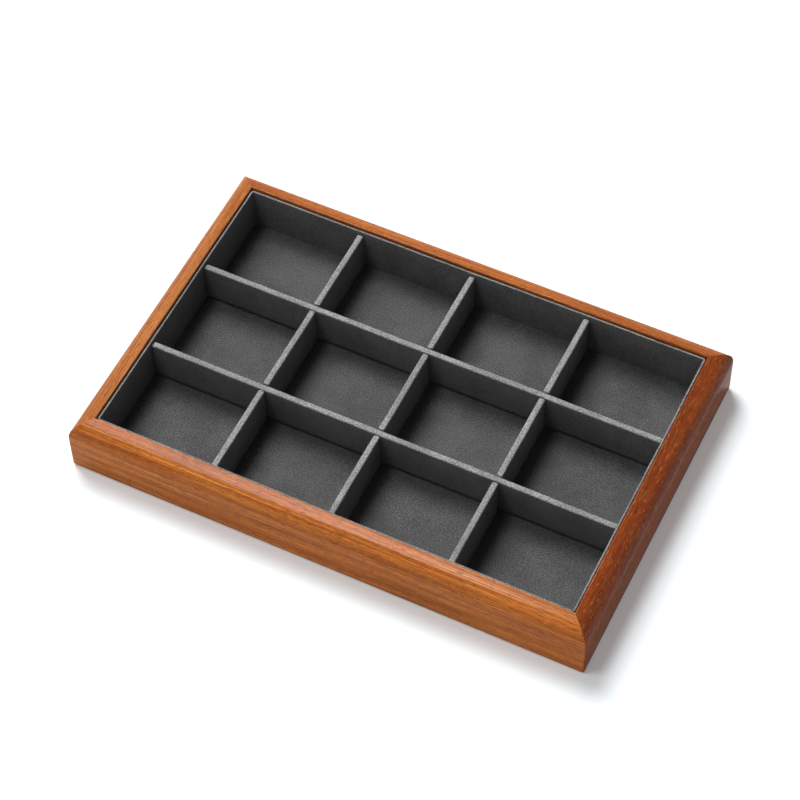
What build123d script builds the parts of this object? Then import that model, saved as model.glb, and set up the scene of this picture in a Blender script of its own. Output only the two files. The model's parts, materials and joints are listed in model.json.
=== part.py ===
from build123d import *
import math
import os

# Twelve-compartment jewelry display tray: a mitred wooden frame and a suede-lined insert that drops into it.
# +X runs along the length, +Y across the width and +Z up, and the origin is the middle of the underside.
# All sizes are in millimetres and all angles in degrees.

# Overall size
tray_length = 270.0
tray_width = 180.0
tray_height = 32.0

# Section of the wooden rails
rail_width = 10.5
rail_top_slope = 22.0
rail_shoulder_radius = 6.0
rail_arris_radius = 0.5
rail_foot_radius = 2.5
rebate_width = 4.0

# Loose tongues that stand upright in stopped grooves across the mitres
tongue_thickness = 2.0
tongue_width = 5.0
tongue_height = 17.0
tongue_rise = 6.0
tongue_play = 0.05

# Base board in the rebate, its staples and the felt below them
base_thickness = 3.0
base_play = 0.2
staple_crown = 8.0
staple_leg = 8.0
staple_wire_width = 1.2
staple_wire_thickness = 0.6
staple_play = 0.05
long_side_staple_count = 3
short_side_staple_count = 2
felt_thickness = 0.8
felt_play = 0.3

# Insert: card floor and walls, covered with suede
insert_play = 0.4
insert_setback = 1.3
insert_corner_radius = 2.5
floor_card_thickness = 1.2
wall_card_thickness = 1.2
suede_thickness = 0.4
wall_top_radius = 0.8
inner_corner_radius = 0.6
cover_turn_down = 12.0
floor_cover_play = 0.1

# Dividers of the insert
column_count = 4
row_count = 3
row_pitch = 53.6
divider_card_thickness = 2.4
divider_setback = 2.0
divider_edge_radius = 1.2
divider_end_radius = 2.0
divider_end_fold = 0.8
divider_end_play = 0.25

# Sizes that follow from the ones above
opening_length = tray_length - 2 * rail_width
opening_width = tray_width - 2 * rail_width
rebate_height = felt_thickness + base_thickness
board_length = opening_length + 2 * (rebate_width - base_play)
board_width = opening_width + 2 * (rebate_width - base_play)
insert_length = opening_length - 2 * insert_play
insert_width = opening_width - 2 * insert_play
wall_thickness = wall_card_thickness + 2 * suede_thickness
wall_bottom = rebate_height + floor_card_thickness
wall_top = tray_height - insert_setback
inner_length = insert_length - 2 * wall_thickness
inner_width = insert_width - 2 * wall_thickness
divider_bottom = wall_bottom + suede_thickness
divider_top = wall_top - divider_setback
divider_thickness = divider_card_thickness + 2 * suede_thickness
column_pitch = (inner_length + divider_thickness) / column_count

# Sides in the order of quarter turns about +Z, and the signs of X and Y at each corner
side_names = ("front", "right", "back", "left")
corner_signs = {
    "front_left": (-1, -1),
    "front_right": (1, -1),
    "back_left": (-1, 1),
    "back_right": (1, 1),
}


def side_turn(side):
    """Turn about +Z that brings the front side of a rectangle to a side."""
    return Rot(0, 0, 90 * side_names.index(side))


def run_and_reach(side, length, width):
    """Length of one side of a rectangle and its distance from the centre."""
    if side in ("front", "back"):
        return length, width / 2
    return width, length / 2


def block(section, bottom, top):
    """Flat section raised to a solid between two heights."""
    return Pos(0, 0, bottom) * extrude(section, amount=top - bottom)


def mitre_wedge(run, depth):
    """Solid as high as the tray whose outer face is a run long, with 45 degree ends over a depth."""
    corners = [(-run / 2, 0), (run / 2, 0), (run / 2 - depth, depth), (-run / 2 + depth, depth)]
    return block(make_face(Polyline(*corners, close=True)), 0, tray_height)


def rounded_corner(face, corner, radius):
    """Face with the corner nearest to a point rounded."""
    vertex = face.vertices().sort_by_distance(Vector(*corner, 0))[0]
    return fillet(vertex, radius)


# Wooden frame


def rail_section():
    """Section of a rail, with the depth from the outer face along X and the height along Y."""
    slope = math.radians(rail_top_slope)
    arris_rise = rail_arris_radius * (math.tan(slope) + 1 / math.cos(slope) - 1)
    arris = (rail_width, tray_height + arris_rise)
    shoulder = (0, arris[1] - rail_width * math.tan(slope))
    foot = (0, 0)
    outline = [
        foot,
        shoulder,
        arris,
        (rail_width, rebate_height),
        (rail_width - rebate_width, rebate_height),
        (rail_width - rebate_width, 0),
    ]
    section = make_face(Polyline(*outline, close=True))
    section = rounded_corner(section, foot, rail_foot_radius)
    section = rounded_corner(section, shoulder, rail_shoulder_radius)
    return rounded_corner(section, arris, rail_arris_radius)


def tongue(corner, play):
    """Upright tongue across the mitre of one corner, enlarged all round by a play."""
    x_sign, y_sign = corner_signs[corner]
    x = x_sign * (tray_length - rail_width) / 2
    y = y_sign * (tray_width - rail_width) / 2
    z = tongue_rise + tongue_height / 2
    shape = Box(tongue_thickness + 2 * play, tongue_width + 2 * play, tongue_height + 2 * play)
    return Pos(x, y, z) * Rot(0, 0, 45 * x_sign * y_sign) * shape


def spread(count, length):
    """Even places along a length, centred on zero."""
    return [(index - (count - 1) / 2) * length / count for index in range(count)]


def staple_places():
    """Middle of each staple on the ledge of the rebate, and its turn about +Z."""
    x_ledge = (opening_length + rebate_width - base_play) / 2
    y_ledge = (opening_width + rebate_width - base_play) / 2
    x_places = spread(long_side_staple_count, opening_length)
    y_places = spread(short_side_staple_count, opening_width)
    along = [(x, side * y_ledge, 0) for side in (-1, 1) for x in x_places]
    across = [(side * x_ledge, y, 90) for side in (-1, 1) for y in y_places]
    return along + across


def staple(place, play):
    """Wire staple that points up from the underside of the base board, enlarged all round by a play."""
    x, y, turn = place
    bottom = felt_thickness - play
    wire = staple_wire_thickness + 2 * play
    depth = staple_wire_width + 2 * play
    crown = block(Rectangle(staple_crown + 2 * play, depth), bottom, bottom + wire)
    leg = block(Rectangle(wire, depth), bottom, felt_thickness + staple_leg + play)
    leg_place = (staple_crown - staple_wire_thickness) / 2
    return Pos(x, y, 0) * Rot(0, 0, turn) * (crown + Pos(-leg_place, 0, 0) * leg + Pos(leg_place, 0, 0) * leg)


def rail(side):
    """Moulded rail, mitred at both ends, with its grooves and staple holes."""
    run, reach = run_and_reach(side, tray_length, tray_width)
    bar = extrude(Plane.YZ * rail_section(), amount=run / 2, both=True)
    bar = side_turn(side) * Pos(0, -reach, 0) * (bar & mitre_wedge(run, 2 * rail_width))
    for corner in corner_signs:
        bar -= tongue(corner, tongue_play)
    for place in staple_places():
        bar -= staple(place, staple_play)
    return bar


def base_board():
    """Board that fills the rebate, with room for the staples."""
    board = block(Rectangle(board_length, board_width), felt_thickness, rebate_height)
    for place in staple_places():
        board -= staple(place, staple_play)
    return board


def underside_felt():
    """Felt sheet that covers the board and the staples, level with the foot of the rails."""
    sheet = Rectangle(board_length - 2 * felt_play, board_width - 2 * felt_play)
    return block(sheet, 0, felt_thickness)


# Insert


def insert_outline(inset):
    """Outer plan of the insert with its rounded corners, moved inwards by an inset."""
    radius = insert_corner_radius - inset
    return RectangleRounded(insert_length - 2 * inset, insert_width - 2 * inset, radius)


def insert_inside(outset):
    """Plan of the room between the covered walls, moved outwards by an outset."""
    radius = inner_corner_radius + outset
    return RectangleRounded(inner_length + 2 * outset, inner_width + 2 * outset, radius)


def wall_card_ring():
    """All four card walls in one ring."""
    plan = insert_outline(suede_thickness) - insert_inside(suede_thickness)
    return block(plan, wall_bottom, wall_top - suede_thickness)


def wall_cover_ring():
    """Suede over the card walls: inside, over the rounded top and turned down outside."""
    ring = block(insert_outline(0) - insert_inside(0), wall_bottom, wall_top)
    ring = fillet(ring.edges().group_by(Axis.Z)[-1], wall_top_radius)
    bare = block(insert_outline(0) - insert_outline(suede_thickness), wall_bottom, wall_top - cover_turn_down)
    return ring - wall_card_ring() - bare


def ring_side(ring, side):
    """One mitred side of a ring of the insert."""
    run, reach = run_and_reach(side, insert_length, insert_width)
    return ring & (side_turn(side) * Pos(0, -reach, 0) * mitre_wedge(run, 2 * wall_thickness))


def floor_card():
    """Card floor that carries the walls."""
    return block(insert_outline(suede_thickness), rebate_height, wall_bottom)


def floor_cover():
    """Suede on the card floor, between the wall covers."""
    return block(insert_inside(-floor_cover_play), wall_bottom, divider_bottom)


# Dividers


def divider_section():
    """Section of a covered divider, rounded over its top."""
    half = divider_thickness / 2
    outline = [(-half, divider_bottom), (half, divider_bottom), (half, divider_top), (-half, divider_top)]
    section = make_face(Polyline(*outline, close=True))
    section = rounded_corner(section, (-half, divider_top), divider_edge_radius)
    return rounded_corner(section, (half, divider_top), divider_edge_radius)


def divider(length):
    """Card core of a divider and the suede around it, lying along X, with bulging ends."""
    core_plan = Rectangle(length - 2 * divider_end_fold, divider_card_thickness)
    core = block(core_plan, divider_bottom, divider_top - suede_thickness)
    bar = extrude(Plane.YZ * divider_section(), amount=length / 2, both=True)
    ends = block(SlotOverall(length, 2 * divider_end_radius), 0, tray_height)
    return core, (bar & ends) - core


def long_divider_places():
    """Distance of each long divider from the middle of the tray, front first."""
    return [(index - (row_count - 2) / 2) * row_pitch for index in range(row_count - 1)]


def row_spans():
    """Front and back of the clear room in each row, front row first."""
    fronts = [-inner_width / 2] + [y + divider_thickness / 2 for y in long_divider_places()]
    backs = [y - divider_thickness / 2 for y in long_divider_places()] + [inner_width / 2]
    return list(zip(fronts, backs))


def cross_divider_places():
    """Distance of each cross divider from the middle of the tray, left first."""
    return [(index - (column_count - 2) / 2) * column_pitch for index in range(column_count - 1)]


def divider_nodes():
    """Every divider's core and cover, by name."""
    found = {}
    core, cover = divider(inner_length - 2 * divider_end_play)
    for name, y in zip(("front", "back"), long_divider_places()):
        found[f"long_divider_core_{name}"] = Pos(0, y, 0) * core
        found[f"long_divider_cover_{name}"] = Pos(0, y, 0) * cover
    for row, (front, back) in enumerate(row_spans(), start=1):
        core, cover = divider(back - front - 2 * divider_end_play)
        for column, x in enumerate(cross_divider_places(), start=1):
            place = Pos(x, (front + back) / 2, 0) * Rot(0, 0, 90)
            found[f"cross_divider_core_{row}_{column}"] = place * core
            found[f"cross_divider_cover_{row}_{column}"] = place * cover
    return found


def tray_nodes():
    """Every piece of the tray in its place, by name."""
    found = {f"rail_{side}": rail(side) for side in side_names}
    found |= {f"mitre_tongue_{corner}": tongue(corner, 0) for corner in corner_signs}
    found["base_board"] = base_board()
    found["base_staples"] = Compound([staple(place, 0).solid() for place in staple_places()])
    found["underside_felt"] = underside_felt()
    found["insert_floor_card"] = floor_card()
    found["floor_cover"] = floor_cover()
    cards = wall_card_ring()
    covers = wall_cover_ring()
    for side in side_names:
        found[f"wall_card_{side}"] = ring_side(cards, side)
        found[f"wall_cover_{side}"] = ring_side(covers, side)
    return found | divider_nodes()


os.makedirs("parts", exist_ok=True)
for node_name, shape in tray_nodes().items():
    export_step(shape, f"parts/{node_name}.step")
    print(node_name, round(shape.volume, 1))
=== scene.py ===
# %% [markdown]
# This scene dresses a small wooden display tray for jewelry: a mitred frame of lacquered wood around a
# lift-out insert, which is lined with dark grey suede and divided into twelve open compartments. The packed
# model already has every piece at its true size and place. Here each piece that shows gets the surface of
# the real one. Nothing is moved, so the first step only loads that model and keeps its size.

# %% Load the frame
import json
import math

import bmesh
import bpy
import numpy as np
from mathutils import Matrix, Vector


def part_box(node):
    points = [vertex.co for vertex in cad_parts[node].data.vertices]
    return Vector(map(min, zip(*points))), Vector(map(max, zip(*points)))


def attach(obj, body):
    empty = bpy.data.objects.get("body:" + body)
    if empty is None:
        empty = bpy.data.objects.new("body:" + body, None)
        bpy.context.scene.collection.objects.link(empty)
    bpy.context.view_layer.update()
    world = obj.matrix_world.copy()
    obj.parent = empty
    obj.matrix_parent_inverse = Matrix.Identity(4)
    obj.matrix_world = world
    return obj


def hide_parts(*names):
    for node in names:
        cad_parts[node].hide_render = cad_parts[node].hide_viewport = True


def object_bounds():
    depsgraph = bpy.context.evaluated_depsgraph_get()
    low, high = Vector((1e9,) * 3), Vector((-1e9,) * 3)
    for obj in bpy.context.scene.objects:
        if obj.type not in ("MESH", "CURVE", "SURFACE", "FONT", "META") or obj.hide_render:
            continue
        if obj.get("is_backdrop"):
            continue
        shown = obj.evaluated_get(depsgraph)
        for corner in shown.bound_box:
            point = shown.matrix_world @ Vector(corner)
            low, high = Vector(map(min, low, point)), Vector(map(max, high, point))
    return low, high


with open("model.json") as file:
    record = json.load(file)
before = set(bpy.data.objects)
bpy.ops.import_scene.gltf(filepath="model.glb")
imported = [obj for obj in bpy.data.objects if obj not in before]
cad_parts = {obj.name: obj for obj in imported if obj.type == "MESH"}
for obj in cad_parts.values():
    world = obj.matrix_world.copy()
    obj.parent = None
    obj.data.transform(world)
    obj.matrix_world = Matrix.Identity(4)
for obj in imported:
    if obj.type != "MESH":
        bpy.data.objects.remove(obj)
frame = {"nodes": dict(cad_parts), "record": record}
cad_low, cad_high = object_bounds()
print("tray", [round(high - low, 4) for low, high in zip(cad_low, cad_high)], "metres")

# %% [markdown]
# A designer's drawing of this tray has few sizes of its own. Most follow from the boxes of the packed
# pieces: how long the tray is, how wide its rails are, where the suede ends and how high each divider
# stands. Reading them from the model keeps the new surfaces in place when the tray changes. Only radii and
# thicknesses, which a box can't tell, are written here, in metres.

# %% Sizes of the tray
MM = 0.001
rail_top_slope = math.radians(22.0)
rail_shoulder_radius = 9.5 * MM
rail_arris_radius = 0.7 * MM
rail_foot_radius = 1.8 * MM
rail_corner_radius = 1.2 * MM
rebate_width = 4.0 * MM
suede_thickness = 0.25 * MM
wall_thickness = 1.0 * MM
wall_top_radius = 0.45 * MM
insert_corner_radius = 1.5 * MM
cover_turn_down = 12.0 * MM

tray_length, tray_width, tray_height = (high - low for low, high in zip(cad_low, cad_high))
rail_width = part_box("rail_left")[1].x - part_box("rail_left")[0].x
felt_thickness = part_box("underside_felt")[1].z
rebate_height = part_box("base_board")[1].z
insert_length = 2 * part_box("wall_cover_right")[1].x
insert_width = 2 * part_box("wall_cover_back")[1].y
wall_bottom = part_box("wall_cover_front")[0].z
wall_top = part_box("wall_cover_front")[1].z
divider_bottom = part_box("long_divider_cover_front")[0].z
divider_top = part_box("long_divider_cover_front")[1].z
inner_length = insert_length - 2 * wall_thickness
inner_width = insert_width - 2 * wall_thickness
print("rail", round(rail_width / MM, 2), "wide, walls up to", round(wall_top / MM, 2), "dividers to",
      round(divider_top / MM, 2), "mm")

# %% [markdown]
# Every new surface here is a grid of points, worked out as one numpy array with rows along the piece and
# columns around its section. Three helpers turn such a grid into a piece. The first numbers the corners of
# all the quads at once. The second merges points that coincide and turns the faces outwards. The third
# makes the object, closes both ends where the columns go around, and keeps edges sharp only where the
# section really turns a corner. Three more give an arc, a quarter turn of the points and a slow unevenness.

# %% Grid to mesh
sharp_turn = math.radians(38.0)
merge_distance = 0.002 * MM


def grid_quads(rows, columns, around):
    """Corner numbers of each quad in a grid: row times columns plus column, wrapped round where it closes."""
    spans = columns if around else columns - 1
    row, column = np.meshgrid(np.arange(rows - 1), np.arange(spans), indexing="ij")
    beside = (column + 1) % columns
    near = row * columns
    far = near + columns
    return np.stack([near + column, near + beside, far + beside, far + column], axis=-1).reshape(-1, 4)


def point_faces_out(mesh):
    """Merges points that coincide, and turns every face outwards."""
    shell = bmesh.new()
    shell.from_mesh(mesh)
    bmesh.ops.remove_doubles(shell, verts=shell.verts, dist=merge_distance)
    bmesh.ops.recalc_face_normals(shell, faces=shell.faces)
    shell.to_mesh(mesh)
    shell.free()


def surface_piece(name, points, around=True):
    """Mesh object from points[row, column, xyz], closed by a face at both ends if the columns go around."""
    rows, columns = points.shape[:2]
    faces = grid_quads(rows, columns, around).tolist()
    if around:
        faces += [list(range(columns)), list(range((rows - 1) * columns, rows * columns))]
    mesh = bpy.data.meshes.new(name)
    mesh.from_pydata(points.reshape(-1, 3).tolist(), [], faces)
    point_faces_out(mesh)
    mesh.shade_smooth()
    mesh.set_sharp_from_angle(angle=sharp_turn)
    piece = bpy.data.objects.new(name, mesh)
    bpy.context.scene.collection.objects.link(piece)
    return piece


def arc(centre, radius, start, end, count):
    """Points of an arc between two angles in degrees: centre plus radius times (cosine, sine)."""
    angle = np.radians(np.linspace(start, end, count))
    return np.column_stack([centre[0] + radius * np.cos(angle), centre[1] + radius * np.sin(angle)])


def turned(points, quarter_turns):
    """Points turned about the Z axis by quarter turns, each of which takes (x, y) to (-y, x)."""
    x, y, z = np.moveaxis(points, -1, 0)
    for _ in range(quarter_turns % 4):
        x, y = -y, x
    return np.stack([x, y, z], axis=-1)


wave_sizes = np.array([1.0, 0.7, 0.5, 0.35])


def wander(places, seed, longest, shortest, size):
    """Slow unevenness along an array of places: four sine waves with wavelengths between two lengths, the
    shorter the smaller, which together stay within the size."""
    draw = np.random.default_rng(seed)
    lengths = np.geomspace(longest, shortest, len(wave_sizes))
    phases = draw.uniform(0, 2 * np.pi, len(wave_sizes))
    weights = draw.uniform(0.5, 1.0, len(wave_sizes)) * wave_sizes
    waves = np.sin(2 * np.pi * places[..., None] / lengths + phases)
    return size * (waves * weights).sum(-1) / weights.sum()


side_names = ("front", "right", "back", "left")
print("helpers ready for", len(side_names), "sides")

# %% [markdown]
# The frame is four lengths of one moulding, cut at 45 degrees and glued around loose tongues. The moulding
# has a top that slopes outwards, a generous round over the outer shoulder, a fine arris along the inner
# edge, a round at the foot and a rebate below for the base board. A box with a bevel would give every edge
# the same round, so the section is drawn once from straight runs and true arcs and carried along each side.
# The section's offset from the outer face also shortens the run, and this makes the mitre. The glued frame
# is sanded at its four upright corners, so there the outermost skin turns in an arc.

# %% Section of the moulding


def rail_profile():
    """Closed section as (depth from the outer face, height), each arc tangent to both of its neighbours."""
    slope_degrees = math.degrees(rail_top_slope)
    arris_rise = rail_arris_radius * (math.tan(rail_top_slope) + 1 / math.cos(rail_top_slope) - 1)
    shoulder_height = tray_height + arris_rise - rail_width * math.tan(rail_top_slope)
    drop = rail_shoulder_radius * (1 - math.sin(rail_top_slope)) / math.cos(rail_top_slope)
    shoulder_centre = (rail_shoulder_radius, shoulder_height - drop)
    arris_centre = (rail_width - rail_arris_radius, tray_height - rail_arris_radius)
    foot_centre = (rail_foot_radius, rail_foot_radius)
    rebate_depth = rail_width - rebate_width
    under = [(rail_width, rebate_height), (rebate_depth, rebate_height), (rebate_depth, 0)]
    return np.concatenate([
        arc(foot_centre, rail_foot_radius, 270, 180, count=9),
        arc(shoulder_centre, rail_shoulder_radius, 180, 90 + slope_degrees, count=19),
        arc(arris_centre, rail_arris_radius, 90 + slope_degrees, 0, count=9),
        np.array(under),
    ])


profile = rail_profile()
print("the moulding's section has", len(profile), "points,", round(profile[:, 1].max() / MM, 2), "mm high")

# %% Carry a section along one side
corner_steps = 9


def along_side(section, length, width, corner_radius, gap, stations):
    """Section of (depth, height) along the front side of a rounded rectangle. On the straight run x is the
    share along times half the run, and y is the depth. In a corner the point moves on by its reach times
    (sine, 1 - cosine) of an angle up to 45 degrees, where reach = corner radius - depth, never under zero."""
    depth, height = section.T
    bend = np.radians(np.linspace(0, 45, corner_steps + 1))
    share = np.concatenate([np.full(corner_steps, -1.0), np.linspace(-1, 1, stations), np.ones(corner_steps)])
    angle = np.concatenate([-bend[:0:-1], np.zeros(stations), bend[1:]])[:, None]
    half_run = length / 2 - gap - np.maximum(depth, corner_radius)
    reach = np.maximum(corner_radius - depth, 0)
    x = share[:, None] * half_run + reach * np.sin(angle)
    y = depth - width / 2 + reach * (1 - np.cos(angle))
    return np.stack([x, y, height + 0 * x], axis=-1)


def four_sides(length, width):
    """Quarter turns, name, run and distance across for each side of a rectangle."""
    for turn, side in enumerate(side_names):
        yield (turn, side, length, width) if turn % 2 == 0 else (turn, side, width, length)


mitre_gap = 0.03 * MM
rail_stations = 41
rails = {}
for turn, side, run, across in four_sides(tray_length, tray_width):
    points = along_side(profile, run, across, rail_corner_radius, mitre_gap, rail_stations)
    rails[side] = surface_piece(f"{side}_rail_moulding", turned(points, turn))
print("rails", [len(rail.data.polygons) for rail in rails.values()], "faces")

# %% [markdown]
# The walls of the insert are thin card covered with suede. The suede comes up the inside, goes over the top
# and turns down 12 mm on the outside, where the narrow gap to the wood hides its edge. It is a sheet with
# two sides, so its section is a hooked strip: the outer line of the hook, then the inner line back again.
# The card inside is a plain strip. The same function that bent the moulding carries both round the corners.
# A hand-covered wall is never dead straight, so suede and card then lean and rise together by about a tenth
# of a millimetre.

# %% Suede over the walls
wall_stations = 121
wall_unevenness = 0.12 * MM
wall_still_end = 8.0 * MM
card_play = 0.25 * MM


def hook(offset):
    """Line of the hooked strip as (depth from the outer face, height), an offset in from the suede's skin."""
    radius = wall_top_radius - offset
    outside = wall_top_radius
    inside = wall_thickness - wall_top_radius
    top = wall_top - wall_top_radius
    down = np.linspace(wall_top - cover_turn_down, top, 9)[:-1]
    up = np.linspace(top, wall_bottom, 17)[1:]
    return np.concatenate([
        np.column_stack([np.full_like(down, offset), down]),
        arc((outside, top), radius, 180, 90, count=7),
        arc((inside, top), radius, 90, 0, count=7),
        np.column_stack([np.full_like(up, wall_thickness - offset), up]),
    ])


def uneven_wall(points, seed):
    """Wall points with a lean and a rise that follow the place along the wall, grow with the height and
    fade out at the corners."""
    x, y, z = np.moveaxis(points, -1, 0)
    still = np.clip((x.max() - np.abs(x)) / wall_still_end, 0, 1)
    above = np.clip((z - divider_bottom) / (wall_top - divider_bottom), 0, 1)
    lean = wander(x, seed, 0.19, 0.021, wall_unevenness) * still * above
    rise = (wander(x, seed + 1, 0.13, 0.017, wall_unevenness) - wall_unevenness) * still * above ** 3
    return np.stack([x, y + lean, z + rise], axis=-1)


wall_covers = {}
wall_cards = {}
suede_strip = np.concatenate([hook(0), hook(suede_thickness)[::-1]])
card_top = wall_top - suede_thickness - card_play
card_inside = wall_thickness - suede_thickness
card_strip = np.array([(suede_thickness, wall_bottom), (suede_thickness, card_top),
                       (card_inside, card_top), (card_inside, wall_bottom)])
for turn, side, run, across in four_sides(insert_length, insert_width):
    points = along_side(suede_strip, run, across, insert_corner_radius, mitre_gap, wall_stations)
    wall_covers[side] = surface_piece(f"{side}_wall_suede", turned(uneven_wall(points, 40 + 2 * turn), turn))
    points = along_side(card_strip, run, across, insert_corner_radius, mitre_gap, wall_stations)
    wall_cards[side] = surface_piece(f"{side}_wall_board", turned(uneven_wall(points, 40 + 2 * turn), turn))
print("wall suede", [len(cover.data.polygons) for cover in wall_covers.values()], "faces")

# %% [markdown]
# Two long dividers run the whole length, and three short ones stand in each row. Each is a card strip
# wrapped in suede, which is rounded over at the top and folded round the ends. One function makes them all.
# At each place along the divider it works out a half thickness and a top height, and draws an arch of that
# size. In the last millimetre the half thickness runs down to nothing in a tight round, which closes the
# wrap. Solidify then gives the sheet its thickness inwards.

# %% Suede over the dividers
divider_edge_radius = 0.8 * MM
divider_end_fold = 1.2 * MM
divider_end_play = 0.1 * MM
divider_wall_reach = 3.0 * MM
divider_step = 2.0 * MM
divider_still_end = 6.0 * MM
divider_rise = 0.12 * MM
divider_lean = 0.14 * MM
divider_bow = 0.05 * MM
divider_puff = 0.035


def arch(half, top, columns):
    """Arch over a strip: up one side, a quarter circle on each shoulder and down the other side, for arrays
    of half thicknesses and top heights. The shoulder radius is the edge radius, or three quarters of the
    half thickness where that is less."""
    radius = np.minimum(divider_edge_radius, 0.75 * half)[:, None]
    half = half[:, None]
    top = top[:, None]
    shoulder = np.radians(np.linspace(90, 0, 8))[None, :]
    side = np.linspace(0, 1, columns)[None, :] ** 0.8
    side_z = divider_bottom + (top - radius - divider_bottom) * side[:, :-1]
    across = np.concatenate([half + 0 * side_z, half - radius + radius * np.sin(shoulder)], axis=1)
    height = np.concatenate([side_z, top - radius + radius * np.cos(shoulder)], axis=1)
    both_sides = np.concatenate([-across, across[:, ::-1]], axis=1)
    return both_sides, np.concatenate([height, height[:, ::-1]], axis=1)


def divider_points(length, thickness, seed):
    """Arches along X. In the end fold the half thickness shrinks by (1 - share cubed) to the power 1/3, which
    is a round with flatter sides than a circle. The top line rises and the sides lean, bow and puff."""
    reach = length / 2
    end = reach - divider_end_fold
    swell = np.radians(np.linspace(0, 90, 12))
    ends = end + divider_end_fold * np.sin(swell)
    run = np.linspace(-end, end, max(9, int(length / divider_step)))
    x = np.concatenate([-ends[::-1], run[1:-1], ends])
    share = np.clip((np.abs(x) - end) / divider_end_fold, 0, 1)
    half = thickness / 2 * (1 - share ** 3) ** (1 / 3)
    fold = np.clip(np.abs(x) - (reach - divider_edge_radius), 0, divider_edge_radius)
    fold_drop = divider_edge_radius - np.sqrt(divider_edge_radius ** 2 - fold ** 2)
    still = np.clip((reach - np.abs(x)) / divider_still_end, 0, 1)
    top = divider_top - fold_drop + wander(x, seed, 0.11, 0.012, divider_rise) - divider_rise
    lean = wander(x, seed + 1, 0.16, 0.023, divider_lean) * still
    puff = 1 + wander(x, seed + 2, 0.05, 0.007, divider_puff) * still
    across, height = arch(half * puff, top, columns=14)
    above = (height - divider_bottom) / (divider_top - divider_bottom)
    bow = wander(height + 7 * x[:, None], seed + 3, 0.05, 0.009, divider_bow) * still[:, None]
    y = across + (lean[:, None] + bow) * np.clip(above, 0, 1)
    return np.stack([x[:, None] + 0 * y, y, height], axis=-1)


def thicken(piece, thickness):
    """Gives an open sheet its thickness inwards, away from the side that shows."""
    solidify = piece.modifiers.new("suede thickness", "SOLIDIFY")
    solidify.thickness = thickness
    solidify.offset = -1
    solidify.use_even_offset = False
    return piece


def up_to_walls(start, end, inner):
    """Ends of a divider. One that stands within a short reach of a wall goes on to it, less the play."""
    limit = inner / 2 - divider_end_play
    near = limit - divider_wall_reach
    return (-limit if start < -near else start), (limit if end > near else end)


divider_covers = {}
for number, node in enumerate(sorted(name for name in frame["nodes"] if "divider_cover" in name)):
    low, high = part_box(node)
    crossways = high.y - low.y > high.x - low.x
    if crossways:
        start, end = up_to_walls(low.y, high.y, inner_width)
        middle = ((low.x + high.x) / 2, (start + end) / 2, 0)
    else:
        start, end = up_to_walls(low.x, high.x, inner_length)
        middle = ((start + end) / 2, (low.y + high.y) / 2, 0)
    thickness = min(high.x - low.x, high.y - low.y)
    points = turned(divider_points(end - start, thickness, 100 + 10 * number), 1 if crossways else 0) + middle
    name = node.replace("divider_cover", "divider_suede")
    divider_covers[node] = thicken(surface_piece(name, points, around=False), suede_thickness)
divider_faces = sum(len(cover.data.polygons) for cover in divider_covers.values())
print(len(divider_covers), "dividers,", divider_faces, "faces")

# %% [markdown]
# The suede of the floor and the felt under the tray are sheets, glued down. Glue and card never leave the
# suede quite flat, and a long low swell is what makes cloth look laid rather than printed. So a sheet is a
# grid whose height is the sum of two slow waves, one along each side. The felt is pressed flat by the
# tray's own weight, so its swell is zero.

# %% Flat sheets
sheet_columns = 123
sheet_rows = 79
sheet_still_edge = 5.0 * MM
floor_swell = 0.05 * MM
felt_corner_radius = 1.0 * MM
nearly_nothing = 1e-9


def flat_sheet(name, length, width, bottom, top, corner, swell, seed):
    """Closed sheet. Its section across X is the top line and the bottom line back again, carried along Y,
    with a swell that fades out at the edges. A point past a rounded corner's arc is drawn back onto it."""
    along = np.linspace(-length / 2, length / 2, sheet_columns)
    across = np.linspace(-width / 2, width / 2, sheet_rows)
    x, y = np.meshgrid(along, across)
    past_x = np.maximum(np.abs(x) - (length / 2 - corner), 0)
    past_y = np.maximum(np.abs(y) - (width / 2 - corner), 0)
    back = np.maximum(1 - corner / np.maximum(np.hypot(past_x, past_y), nearly_nothing), 0)
    x = x - np.sign(x) * past_x * back
    y = y - np.sign(y) * past_y * back
    edge = np.minimum(length / 2 - np.abs(x), width / 2 - np.abs(y))
    fade = np.clip(edge / sheet_still_edge, 0, 1)
    waves = wander(x, seed, 0.09, 0.019, swell) + wander(y, seed + 1, 0.07, 0.017, swell)
    lift = np.clip(waves + swell, 0, None) * fade
    upper = np.stack([x, y, top + lift], axis=-1)
    lower = np.stack([x, y, bottom + lift], axis=-1)
    return surface_piece(name, np.concatenate([upper, lower[:, ::-1]], axis=1))


felt_low, felt_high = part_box("underside_felt")
inner_corner_radius = insert_corner_radius - wall_thickness
felt_size = felt_high - felt_low
floor_suede = flat_sheet("floor_suede", inner_length, inner_width, bottom=wall_bottom, top=divider_bottom,
                         corner=inner_corner_radius, swell=floor_swell, seed=7)
felt = flat_sheet("felt_under_base", felt_size.x, felt_size.y, bottom=0.0, top=felt_thickness,
                  corner=felt_corner_radius, swell=0.0, seed=17)
print("floor suede", len(floor_suede.data.polygons), "felt", len(felt.data.polygons), "faces")

# %% [markdown]
# Now each new surface is tied to the model: it is attached to the body that it moves with, and the imported
# piece that it stands for is hidden.

for side, rail in rails.items():
    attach(rail, "frame")
    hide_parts(f"rail_{side}")

for side, cover in wall_covers.items():
    run = insert_length if side in ("front", "back") else insert_width
    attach(cover, "insert")
    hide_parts(f"wall_cover_{side}")
    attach(wall_cards[side], "insert")
    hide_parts(f"wall_card_{side}")

for node, cover in divider_covers.items():
    low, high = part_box(node)
    run = max(high.x - low.x, high.y - low.y)
    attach(cover, "insert")
    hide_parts(node)

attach(floor_suede, "insert")
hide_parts("floor_cover")

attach(felt, "frame")
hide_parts("underside_felt")

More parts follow.
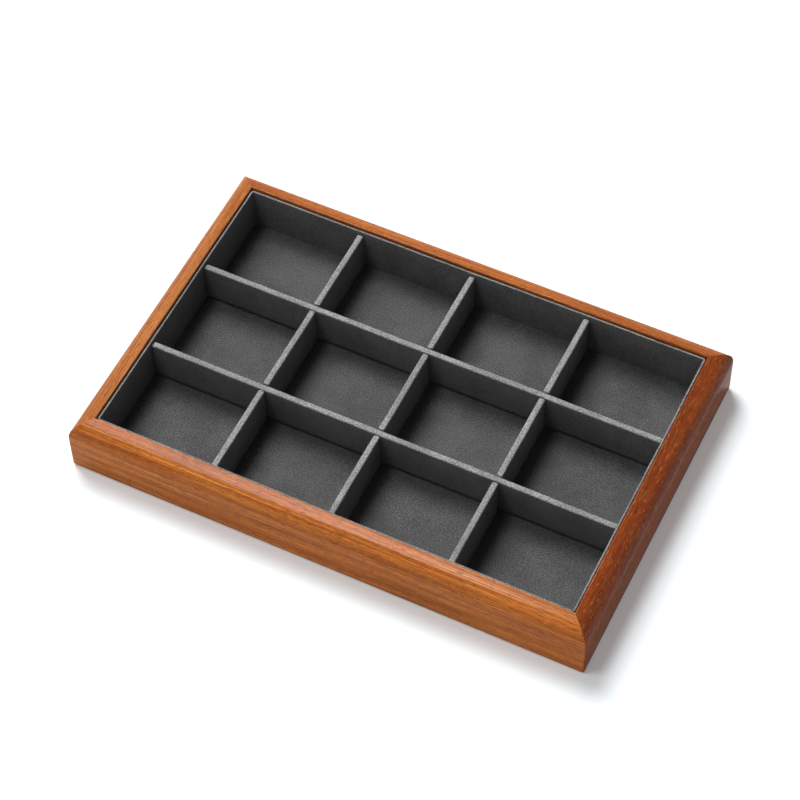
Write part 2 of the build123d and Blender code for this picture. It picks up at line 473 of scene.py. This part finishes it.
# %% [markdown]
# Materials are built from nodes, and small helpers keep that readable. The most used one adds a node and
# fills its sockets, and a value that is itself an output is linked instead. Another turns the familiar 0 to
# 255 colour numbers into the linear light that shaders count in, so a colour can be judged as it is
# written.

# %% Helpers for materials


def paint(red, green, blue):
    """Linear colour of an sRGB colour from 0 to 255: with c = value / 255 it is ((c + 0.055) / 1.055) to the
    power 2.4, or c / 12.92 near black."""
    share = np.array([red, green, blue]) / 255
    linear = np.where(share <= 0.04045, share / 12.92, ((share + 0.055) / 1.055) ** 2.4)
    return (*linear.tolist(), 1.0)


def add_node(tree, kind, sockets=None, **settings):
    """Adds a node, sets its settings, and fills or links its sockets by name or number."""
    node = tree.nodes.new(kind)
    for name, value in settings.items():
        setattr(node, name, value)
    for key, value in (sockets or {}).items():
        if isinstance(value, bpy.types.NodeSocket):
            tree.links.new(value, node.inputs[key])
        else:
            node.inputs[key].default_value = value
    return node


def noise(tree, place, stretch, detail=3.0, roughness=0.55):
    """Noise over a place multiplied by a stretch, given in cells per metre along X, Y and Z."""
    spread = add_node(tree, "ShaderNodeVectorMath", {0: place, 1: stretch}, operation="MULTIPLY")
    sockets = {"Vector": spread.outputs[0], "Scale": 1.0, "Detail": detail, "Roughness": roughness}
    return add_node(tree, "ShaderNodeTexNoise", sockets).outputs["Fac"]


def ranged(tree, value, low, high, to_low=0.0, to_high=1.0):
    """Value between low and high, mapped smoothly to a new range."""
    sockets = {"Value": value, "From Min": low, "From Max": high, "To Min": to_low, "To Max": to_high}
    return add_node(tree, "ShaderNodeMapRange", sockets, interpolation_type="SMOOTHSTEP").outputs["Result"]


def mixed(tree, share, first, second):
    """Colour between two colours by a share."""
    return add_node(tree, "ShaderNodeMix", {0: share, 6: first, 7: second}, data_type="RGBA").outputs[2]


def calculated(tree, operation, first, second):
    """Two numbers added, multiplied or otherwise put together."""
    return add_node(tree, "ShaderNodeMath", {0: first, 1: second}, operation=operation).outputs[0]


def bumped(tree, shader, height, strength, distance):
    """Links a bump map of a height to the shader's normal, with the real height of the bumps in metres."""
    sockets = {"Strength": strength, "Distance": distance, "Height": height}
    tree.links.new(add_node(tree, "ShaderNodeBump", sockets).outputs["Normal"], shader.inputs["Normal"])


def new_group(name, inputs, outputs):
    """Empty shader node group. Inputs are (name, kind, default) and outputs (name, kind)."""
    group = bpy.data.node_groups.new(name, "ShaderNodeTree")
    for socket_name, kind, default in inputs:
        socket = group.interface.new_socket(socket_name, in_out="INPUT", socket_type=kind)
        if default is not None:
            socket.default_value = default
    for socket_name, kind in outputs:
        group.interface.new_socket(socket_name, in_out="OUTPUT", socket_type=kind)
    return group, group.nodes.new("NodeGroupInput").outputs, group.nodes.new("NodeGroupOutput")


def place_on(tree, turn=(0.0, 0.0, 0.0)):
    """Object coordinates in metres, turned so that a pattern's X axis follows the piece."""
    coordinates = add_node(tree, "ShaderNodeTexCoord").outputs["Object"]
    return add_node(tree, "ShaderNodeMapping", {"Vector": coordinates, "Rotation": turn}).outputs["Vector"]


def new_material(name):
    """Material with its node tree and its Principled BSDF."""
    material = bpy.data.materials.new(name)
    material.use_nodes = True
    return material, material.node_tree, material.node_tree.nodes["Principled BSDF"]


print("a grey of 128 in 255 is", round(paint(128, 128, 128)[0], 3), "in linear light")

# %% [markdown]
# Straight-grained wood is a bundle of long fibres, and the saw cuts across its yearly growth. So there are
# five patterns, all stretched far along the grain: broad bands of darker and paler wood, growth lines about
# half a millimetre apart, single fibres, short open pores and short pale flecks. Real lines drift, so the
# place itself is first pushed sideways by a slow noise. The stained rails and the bare tongues share this
# group.

# %% Straight grain group


def make_straight_grain():
    """Grain along X. Each output is a noise with few cells per metre along X and many across it."""
    inputs = [("Place", "NodeSocketVector", None), ("Drift", "NodeSocketFloat", 1.0 * MM)]
    names = ("Bands", "Lines", "Fibres", "Pores", "Flecks", "Height")
    group, given, result = new_group("straight grain", inputs, [(name, "NodeSocketFloat") for name in names])
    drift = calculated(group, "SUBTRACT", noise(group, given["Place"], (14.0, 90.0, 90.0), 2.0), 0.5)
    push = calculated(group, "MULTIPLY", drift, given["Drift"])
    push_vector = add_node(group, "ShaderNodeCombineXYZ", {"Y": push, "Z": push}).outputs[0]
    pushed = add_node(group, "ShaderNodeVectorMath", {0: given["Place"], 1: push_vector}, operation="ADD")
    place = pushed.outputs[0]
    bands = ranged(group, noise(group, place, (9.0, 210.0, 210.0), 2.0), 0.32, 0.68)
    lines = ranged(group, noise(group, place, (11.0, 2100.0, 2100.0), 2.0, 0.6), 0.44, 0.58)
    fibres = ranged(group, noise(group, place, (90.0, 3000.0, 3000.0), 2.0, 0.6), 0.3, 0.7)
    pores = ranged(group, noise(group, place, (240.0, 3000.0, 3000.0), 1.0), 0.6, 0.65)
    flecks = ranged(group, noise(group, place, (330.0, 1500.0, 1500.0), 1.0), 0.61, 0.7)
    height = calculated(group, "SUBTRACT", calculated(group, "MULTIPLY", fibres, 0.25), pores)
    for name, value in zip(names, (bands, lines, fibres, pores, flecks, height)):
        group.links.new(value, result.inputs[name])
    return group


straight_grain = make_straight_grain()
print(straight_grain.name, "has", len(straight_grain.nodes), "nodes")

# %% [markdown]
# Suede and felt are a mass of very short hairs. Seen from a hand's distance the hairs give a
# salt-and-pepper speckle under a millimetre in size, wide soft clouds where the nap lies this way or that,
# and now and then a pale speck of lint. One group gives all three and a height for the bump, and each cloth
# has its own amounts.

# %% Short nap group


def make_short_nap():
    """Speckle, clouds and lint from noises of three sizes. Tuft is the number of hair tufts per metre."""
    inputs = [("Place", "NodeSocketVector", None), ("Tuft", "NodeSocketFloat", 1500.0)]
    outputs = [("Speckle", "NodeSocketFloat"), ("Clouds", "NodeSocketFloat"), ("Lint", "NodeSocketFloat"),
               ("Height", "NodeSocketFloat")]
    group, given, result = new_group("short nap", inputs, outputs)
    sockets = {"Vector": given["Place"], "Scale": given["Tuft"], "Detail": 3.0, "Roughness": 0.72}
    tufts = add_node(group, "ShaderNodeTexNoise", sockets).outputs["Fac"]
    speckle = ranged(group, tufts, 0.34, 0.66)
    clouds = ranged(group, noise(group, given["Place"], (55.0, 55.0, 55.0), 3.0, 0.6), 0.3, 0.7)
    lint = ranged(group, noise(group, given["Place"], (900.0, 900.0, 900.0), 1.0), 0.74, 0.78)
    height = calculated(group, "ADD", speckle, calculated(group, "MULTIPLY", clouds, 0.6))
    for name, value in (("Speckle", speckle), ("Clouds", clouds), ("Lint", lint), ("Height", height)):
        group.links.new(value, result.inputs[name])
    return group


short_nap = make_short_nap()
print(short_nap.name, "has", len(short_nap.nodes), "nodes")

# %% [markdown]
# The rails are a red-brown stained hardwood under a satin lacquer. Stain sinks into soft wood and pores, so
# the grain lines are darker and redder than the ground. The lacquer is the Principled shader's coat, smooth
# over the wood but not mirror-like. Its amounts are the same everywhere, so they are set on the sockets
# themselves, and the wood below brings the changing colour, roughness and bump. Each rail comes from
# another board and has its own grain direction and its own two ground colours. These colours differ partly
# as boards do and partly as painted light and shade: palest on the front rail, which faces the light, and
# darkest on the right rail, which faces away from it.

# %% Lacquered wood
quarter = math.pi / 2
# Ground colours per rail: partly board to board, partly painted light and shade, darkest on the right rail.
rail_boards_and_painted_shade = {
    "front": {"turn": 0.0, "pale": paint(220, 132, 56), "deep": paint(192, 102, 36)},
    "right": {"turn": quarter, "pale": paint(150, 62, 2), "deep": paint(122, 44, 1)},
    "back": {"turn": 0.0, "pale": paint(186, 106, 42), "deep": paint(158, 82, 28)},
    "left": {"turn": quarter, "pale": paint(188, 122, 66), "deep": paint(166, 100, 48)},
}


def make_lacquered_wood(name, turn, pale, deep):
    """Stained wood: a ground between pale and deep by bands, darkened by lines and pores, under lacquer."""
    material, tree, shader = new_material(name)
    grain = add_node(tree, "ShaderNodeGroup", node_tree=straight_grain)
    tree.links.new(place_on(tree, (0.0, 0.0, turn)), grain.inputs["Place"])
    grain.inputs["Drift"].default_value = 1.4 * MM
    ground = mixed(tree, grain.outputs["Bands"], deep, pale)
    line_share = calculated(tree, "MULTIPLY", grain.outputs["Lines"], 0.66)
    lined = mixed(tree, line_share, ground, paint(124, 50, 8))
    fibre_share = ranged(tree, grain.outputs["Fibres"], 0.4, 1.0, 0.0, 0.15)
    fibred = mixed(tree, fibre_share, lined, paint(234, 150, 62))
    fleck_share = calculated(tree, "MULTIPLY", grain.outputs["Flecks"], 0.25)
    flecked = mixed(tree, fleck_share, fibred, paint(240, 164, 80))
    pore_share = calculated(tree, "MULTIPLY", grain.outputs["Pores"], 0.6)
    tree.links.new(mixed(tree, pore_share, flecked, paint(76, 30, 8)), shader.inputs["Base Color"])
    rough = ranged(tree, grain.outputs["Lines"], 0.0, 1.0, 0.42, 0.54)
    tree.links.new(rough, shader.inputs["Roughness"])
    bumped(tree, shader, grain.outputs["Height"], strength=0.3, distance=0.12 * MM)
    shader.inputs["Specular IOR Level"].default_value = 0.0
    shader.inputs["Coat Weight"].default_value = 0.3
    shader.inputs["Coat Roughness"].default_value = 0.15
    shader.inputs["Coat IOR"].default_value = 1.5
    return material


for side, board in rail_boards_and_painted_shade.items():
    rails[side].data.materials.append(make_lacquered_wood(f"lacquered wood {side}", **board))
print("lacquered wood on", len(rail_boards_and_painted_shade), "rails")

# %% [markdown]
# The suede is a dark neutral grey. It has hardly any gloss, so its roughness is close to one, and the soft
# pale bloom that short hairs give at a glancing angle is the shader's sheen. The colour also reads the
# height above the floor: the last millimetre below each top line of the walls and dividers gets a lighter
# grey, broken up by the clouds. This is partly nap rubbed paler where hands brush over it, and partly a
# painted highlight for the light that these open top edges catch. The nap on the upright walls
# and dividers lies across the light and catches a little more of it, so they take paler greys than the
# floor, with a coarser and fainter speckle.

# %% Suede
# Depth of the lighter band below each top line: partly rubbed nap, partly painted highlight.
rub_and_highlight_depth = 0.9 * MM


# Lighter band below a top line: partly rubbed nap, partly a painted highlight for the light the top edges
# catch.
def rub_and_highlight_band(tree, place, top, depth, clouds):
    """One at a top height, fading to nothing at a depth below it, times a share that the clouds vary."""
    height = add_node(tree, "ShaderNodeSeparateXYZ", {0: place}).outputs["Z"]
    near = ranged(tree, height, top - depth, top)
    return calculated(tree, "MULTIPLY", near, ranged(tree, clouds, 0.0, 1.0, 0.65, 1.0))


def make_suede(name, top, rub_and_highlight, contrast, lift, tufts):
    """Grey suede: two greys by speckle and clouds, both raised by a lift, then a lighter band below the top,
    partly rubbed nap and partly painted highlight, and lint.
    """
    material, tree, shader = new_material(name)
    place = place_on(tree)
    nap = add_node(tree, "ShaderNodeGroup", node_tree=short_nap)
    tree.links.new(place, nap.inputs["Place"])
    nap.inputs["Tuft"].default_value = tufts
    low_greys = [paint(grey + lift, grey + lift, grey + lift) for grey in (54, 64)]
    high_greys = [paint(grey + lift, grey + lift, grey + lift) for grey in (112, 126)]
    dark = mixed(tree, nap.outputs["Clouds"], *low_greys)
    pale = mixed(tree, nap.outputs["Clouds"], *high_greys)
    speckle = ranged(tree, nap.outputs["Speckle"], 0.0, 1.0, 0.4 - contrast / 2, 0.4 + contrast / 2)
    cloth = mixed(tree, speckle, dark, pale)
    # Lighter grey below each top line: partly rubbed nap, partly painted highlight.
    if rub_and_highlight:
        near_top = rub_and_highlight_band(tree, place, top, rub_and_highlight_depth, nap.outputs["Clouds"])
        rub_and_highlight_share = calculated(tree, "MULTIPLY", near_top, rub_and_highlight)
        rub_and_highlight_grey = mixed(tree, nap.outputs["Speckle"], paint(112, 112, 112), paint(188, 188, 188))
        cloth = mixed(tree, rub_and_highlight_share, cloth, rub_and_highlight_grey)
    lint_share = calculated(tree, "MULTIPLY", nap.outputs["Lint"], 0.4)
    tree.links.new(mixed(tree, lint_share, cloth, paint(190, 188, 184)), shader.inputs["Base Color"])
    tree.links.new(ranged(tree, nap.outputs["Speckle"], 0.0, 1.0, 1.0, 0.9), shader.inputs["Roughness"])
    bumped(tree, shader, nap.outputs["Height"], strength=0.5, distance=0.25 * MM)
    shader.inputs["Specular IOR Level"].default_value = 0.1
    shader.inputs["Sheen Weight"].default_value = 0.06
    shader.inputs["Sheen Roughness"].default_value = 0.4
    return material


floor_finish = make_suede("suede floor", top=divider_bottom, rub_and_highlight=0.0, contrast=0.75, lift=0, tufts=2000.0)
wall_finish = make_suede("suede walls", top=wall_top, rub_and_highlight=0.7, contrast=0.3, lift=20, tufts=1300.0)
divider_finish = make_suede("suede dividers", top=divider_top, rub_and_highlight=1.0, contrast=0.3, lift=20, tufts=1300.0)
floor_suede.data.materials.append(floor_finish)
for cover in wall_covers.values():
    cover.data.materials.append(wall_finish)
for cover in divider_covers.values():
    cover.data.materials.append(divider_finish)
print("suede on", 1 + len(wall_covers) + len(divider_covers), "pieces")

# %% [markdown]
# The felt below is the same kind of surface, only blacker and with coarser hair, so it takes the nap group
# again with fewer and larger tufts.

# %% Felt


def make_felt():
    """Black felt: two near-blacks by speckle, with grey lint."""
    material, tree, shader = new_material("underside felt")
    nap = add_node(tree, "ShaderNodeGroup", node_tree=short_nap)
    tree.links.new(place_on(tree), nap.inputs["Place"])
    nap.inputs["Tuft"].default_value = 800.0
    black = mixed(tree, nap.outputs["Clouds"], paint(26, 26, 28), paint(34, 34, 36))
    cloth = mixed(tree, nap.outputs["Speckle"], black, paint(62, 62, 66))
    tree.links.new(mixed(tree, nap.outputs["Lint"], cloth, paint(130, 128, 124)), shader.inputs["Base Color"])
    tree.links.new(ranged(tree, nap.outputs["Speckle"], 0.0, 1.0, 1.0, 0.88), shader.inputs["Roughness"])
    bumped(tree, shader, nap.outputs["Height"], strength=0.7, distance=0.4 * MM)
    shader.inputs["Specular IOR Level"].default_value = 0.1
    shader.inputs["Sheen Weight"].default_value = 0.15
    return material


felt.data.materials.append(make_felt())
print("felt done")

# %% [markdown]
# The pieces that stay hidden get a finish too, because someone may lift the insert or take the tray apart:
# card, fibreboard, steel staples and the bare wood of the tongues. Card and fibreboard are both pressed
# fibres without a direction, so they share a group of fine chips, broader mottling and a little height.

# %% Pressed fibres group


def make_pressed_fibres():
    """Chips and mottling from two noises. Chip is the number of fibres per metre."""
    inputs = [("Place", "NodeSocketVector", None), ("Chip", "NodeSocketFloat", 900.0)]
    outputs = [("Chips", "NodeSocketFloat"), ("Mottle", "NodeSocketFloat"), ("Height", "NodeSocketFloat")]
    group, given, result = new_group("pressed fibres", inputs, outputs)
    sockets = {"Vector": given["Place"], "Scale": given["Chip"], "Detail": 4.0, "Roughness": 0.65,
               "Distortion": 0.8}
    fine = add_node(group, "ShaderNodeTexNoise", sockets).outputs["Fac"]
    chips = ranged(group, fine, 0.36, 0.64)
    mottle = ranged(group, noise(group, given["Place"], (70.0, 70.0, 70.0), 4.0), 0.32, 0.68)
    for name, value in (("Chips", chips), ("Mottle", mottle), ("Height", fine)):
        group.links.new(value, result.inputs[name])
    return group


pressed_fibres = make_pressed_fibres()


def make_pressed_board(name, chips_per_metre, ground, mottled, chip, rough):
    """Board of pressed fibres: ground to mottled by the mottling, with chips of another colour."""
    material, tree, shader = new_material(name)
    fibres = add_node(tree, "ShaderNodeGroup", node_tree=pressed_fibres)
    tree.links.new(place_on(tree), fibres.inputs["Place"])
    fibres.inputs["Chip"].default_value = chips_per_metre
    board = mixed(tree, fibres.outputs["Mottle"], ground, mottled)
    chip_share = calculated(tree, "MULTIPLY", fibres.outputs["Chips"], 0.45)
    tree.links.new(mixed(tree, chip_share, board, chip), shader.inputs["Base Color"])
    roughness = ranged(tree, fibres.outputs["Chips"], 0.0, 1.0, rough, rough - 0.12)
    tree.links.new(roughness, shader.inputs["Roughness"])
    bumped(tree, shader, fibres.outputs["Height"], strength=0.3, distance=0.1 * MM)
    return material


card = make_pressed_board("grey card", 1100.0, ground=paint(150, 147, 140), mottled=paint(164, 161, 153),
                          chip=paint(122, 119, 113), rough=0.92)
fibreboard = make_pressed_board("fibreboard", 700.0, ground=paint(158, 120, 82),
                                mottled=paint(176, 138, 98), chip=paint(120, 86, 56), rough=0.85)
print("card and fibreboard share", pressed_fibres.name)

# %% [markdown]
# The tongues are left bare, so they take the grain group again in paler colours, with the grain upright.
# The staples are bent from galvanised wire, and drawing leaves fine marks on a wire. Bare metal is seen by
# what it reflects, so the marks change its roughness more than its shade.

# %% Bare wood and staple steel


def make_bare_wood():
    """Pale unfinished hardwood with its grain upright."""
    material, tree, shader = new_material("bare wood tongues")
    grain = add_node(tree, "ShaderNodeGroup", node_tree=straight_grain)
    tree.links.new(place_on(tree, (0.0, quarter, 0.0)), grain.inputs["Place"])
    ground = mixed(tree, grain.outputs["Bands"], paint(205, 170, 122), paint(220, 188, 142))
    line_share = calculated(tree, "MULTIPLY", grain.outputs["Lines"], 0.4)
    tree.links.new(mixed(tree, line_share, ground, paint(168, 128, 82)), shader.inputs["Base Color"])
    tree.links.new(ranged(tree, grain.outputs["Fibres"], 0.0, 1.0, 0.85, 0.7), shader.inputs["Roughness"])
    bumped(tree, shader, grain.outputs["Height"], strength=0.4, distance=0.1 * MM)
    return material


def make_staple_steel():
    """Galvanised wire: a metal whose fine drawing marks change its roughness and shade."""
    material, tree, shader = new_material("staple steel")
    marks = ranged(tree, noise(tree, place_on(tree), (900.0, 900.0, 5000.0), 3.0), 0.3, 0.7)
    zinc = mixed(tree, marks, paint(176, 178, 180), paint(206, 207, 208))
    tree.links.new(zinc, shader.inputs["Base Color"])
    tree.links.new(ranged(tree, marks, 0.0, 1.0, 0.5, 0.32), shader.inputs["Roughness"])
    shader.inputs["Metallic"].default_value = 1.0
    return material


def dress(node, material):
    """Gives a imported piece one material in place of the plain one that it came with."""
    slots = frame["nodes"][node].data.materials
    slots.clear()
    slots.append(material)


bare_wood = make_bare_wood()
staple_steel = make_staple_steel()
finish_of = {"card": card, "base_fibreboard": fibreboard, "tongue_wood": bare_wood,
             "staple_steel": staple_steel}
dressed = [part for part in frame["record"]["subparts"] if part["material_slot"] in finish_of]
for part in dressed:
    dress(part["node"], finish_of[part["material_slot"]])
for wall_card in wall_cards.values():
    wall_card.data.materials.append(card)
print(len(dressed), "packed pieces dressed")

# %% [markdown]
# The camera is a long lens at about 1.3 m, looking down at 54 degrees from the right of the front. Its
# place comes from the straight edges of the tray: their lengths and their slight convergence fix the
# distance, and the two directions fix the turn. A small roll of about one degree is taken as it is. Depth
# of field stays off and the lens isn't shifted.

# %% Camera
camera_place = Vector((0.328714, -0.653265, 1.037813))
camera_aim = Vector((-0.003441, 0.002637, 0.016))
camera_roll = math.radians(1.083)
camera_lens = 116.744
film_width = 36.0


def aim(thing, place, target, roll):
    """Points an object's -Z axis at a target, level, and then turns it about that axis."""
    ahead = (target - place).normalized()
    level = ahead.cross(Vector((0, 0, 1))).normalized()
    down = ahead.cross(level)
    right = level * math.cos(roll) + down * math.sin(roll)
    up = right.cross(ahead)
    thing.matrix_world = Matrix.Translation(place) @ Matrix((right, up, -ahead)).transposed().to_4x4()


camera = bpy.data.objects.new("camera", bpy.data.cameras.new("camera"))
bpy.context.scene.collection.objects.link(camera)
camera.data.lens = camera_lens
camera.data.sensor_fit = "HORIZONTAL"
camera.data.sensor_width = film_width
camera.data.clip_start = 0.01
camera.data.clip_end = 20.0
aim(camera, camera_place, camera_aim, camera_roll)
bpy.context.scene.camera = camera
print("camera", round((camera_aim - camera_place).length, 3), "m away")

# %% [markdown]
# The light is a large soft box high on the left and a little behind the tray. It reaches the floors of the
# compartments and leaves a soft shadow at the foot of their left and back walls, and the fine arrises along
# the rails' inner edges mirror it as a thin line. The shadow of the tray falls to the right and a little to
# the front. It is an area lamp, because the soft edges of a shadow come from the lamp's size. A smaller
# panel overhead adds little light, but the sloping top of the front rail mirrors it as a bright soft band.

# %% Lamps


def soft_panel(name, direction, distance, width, level):
    """Square area lamp that faces the tray. A level of 1 makes a white sheet that faces the lamp render
    white: the power is level times pi squared times the distance squared."""
    lamp = bpy.data.lights.new(name, "AREA")
    lamp.shape = "SQUARE"
    lamp.size = width
    lamp.energy = level * math.pi ** 2 * distance ** 2
    panel = bpy.data.objects.new(name, lamp)
    bpy.context.scene.collection.objects.link(panel)
    aim(panel, Vector(direction).normalized() * distance, Vector((0, 0, 0)), 0.0)
    return panel


soft_box = soft_panel("soft box", direction=(-0.44, 0.33, 0.84), distance=3.0, width=1.4, level=1.04)
top_panel = soft_panel("overhead panel", direction=(-0.29, -0.225, 0.93), distance=2.6, width=0.65,
                       level=0.23)
for panel in (soft_box, top_panel):
    print(panel.name, round(panel.data.energy, 1), "W")

# %% [markdown]
# The fill light is a pale cove on the left, bright near the horizon and dim above, as in a studio with
# white walls and a dark ceiling. The right side stays dim, so the right-hand rail stays deep in colour.
# What the camera, a mirror or a glass sees is plain white, and that comes from the Light Path node, so it
# adds no light to matt surfaces. The floor is treated alike: a pale diffuse ground that keeps the shadow,
# with a little white added for the same rays only. Its colour leans to blue, against the red light that the
# wood throws on it, and it ends at 0.9 m, before the lamps leave it grey, so a low view meets the white
# room.

# %% Room and floor
cove_light = 0.8
ceiling_light = 0.14
dark_side_share = 0.35
cove_fade = (0.1, 0.6)
side_fade = (-0.3, 0.5)
floor_lift = 0.2
floor_half = 0.9
floor_drop = 0.02 * MM


def seen_rays(tree):
    """One on camera, mirror and glass rays, and zero on the rays that carry light to matt surfaces."""
    path = add_node(tree, "ShaderNodeLightPath").outputs
    mirrored = calculated(tree, "MAXIMUM", path["Is Glossy Ray"], path["Is Transmission Ray"])
    return calculated(tree, "MAXIMUM", path["Is Camera Ray"], mirrored)


def make_room():
    """World whose strength falls with the height of a ray's direction, and again from left to right."""
    world = bpy.data.worlds.new("white cove")
    world.use_nodes = True
    tree = world.node_tree
    direction = add_node(tree, "ShaderNodeTexCoord").outputs["Generated"]
    split = add_node(tree, "ShaderNodeSeparateXYZ", {0: direction}).outputs
    by_height = ranged(tree, split["Z"], *cove_fade, cove_light, ceiling_light)
    by_side = ranged(tree, split["X"], *side_fade, 1.0, dark_side_share)
    light = calculated(tree, "MULTIPLY", by_height, by_side)
    background = tree.nodes["Background"]
    tree.links.new(calculated(tree, "MAXIMUM", light, seen_rays(tree)), background.inputs["Strength"])
    background.inputs["Color"].default_value = (1.0, 1.0, 1.0, 1.0)
    bpy.context.scene.world = world
    return world


def make_floor_material():
    """Pale diffuse floor, with a little white of its own for camera, mirror and glass rays."""
    material, tree, shader = new_material("pale floor")
    shader.inputs["Base Color"].default_value = paint(237, 244, 247)
    shader.inputs["Roughness"].default_value = 0.95
    shader.inputs["Specular IOR Level"].default_value = 0.0
    shader.inputs["Emission Color"].default_value = (1.0, 1.0, 1.0, 1.0)
    glow = calculated(tree, "MULTIPLY", seen_rays(tree), floor_lift)
    tree.links.new(glow, shader.inputs["Emission Strength"])
    return material


def make_floor(half, drop):
    """Square floor just below the tray, as a grid of two by two points."""
    side = np.array([-half, half])
    x, y = np.meshgrid(side, side)
    floor = surface_piece("studio_floor", np.stack([x, y, np.full_like(x, -drop)], axis=-1), around=False)
    if floor.data.polygons[0].normal.z < 0:
        floor.data.flip_normals()
    floor.data.materials.append(make_floor_material())
    floor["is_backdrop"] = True
    return floor


room = make_room()
studio_floor = make_floor(floor_half, floor_drop)
bpy.context.scene.view_settings.view_transform = "Standard"
print(room.name, "and", studio_floor.name)

# %% [markdown]
# The dressed tray must be as large as the imported one, so both boxes are printed, in metres, and can be
# compared after every render.

# %% Print the sizes
low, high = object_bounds()
print("visual", [round(b - a, 4) for a, b in zip(low, high)])
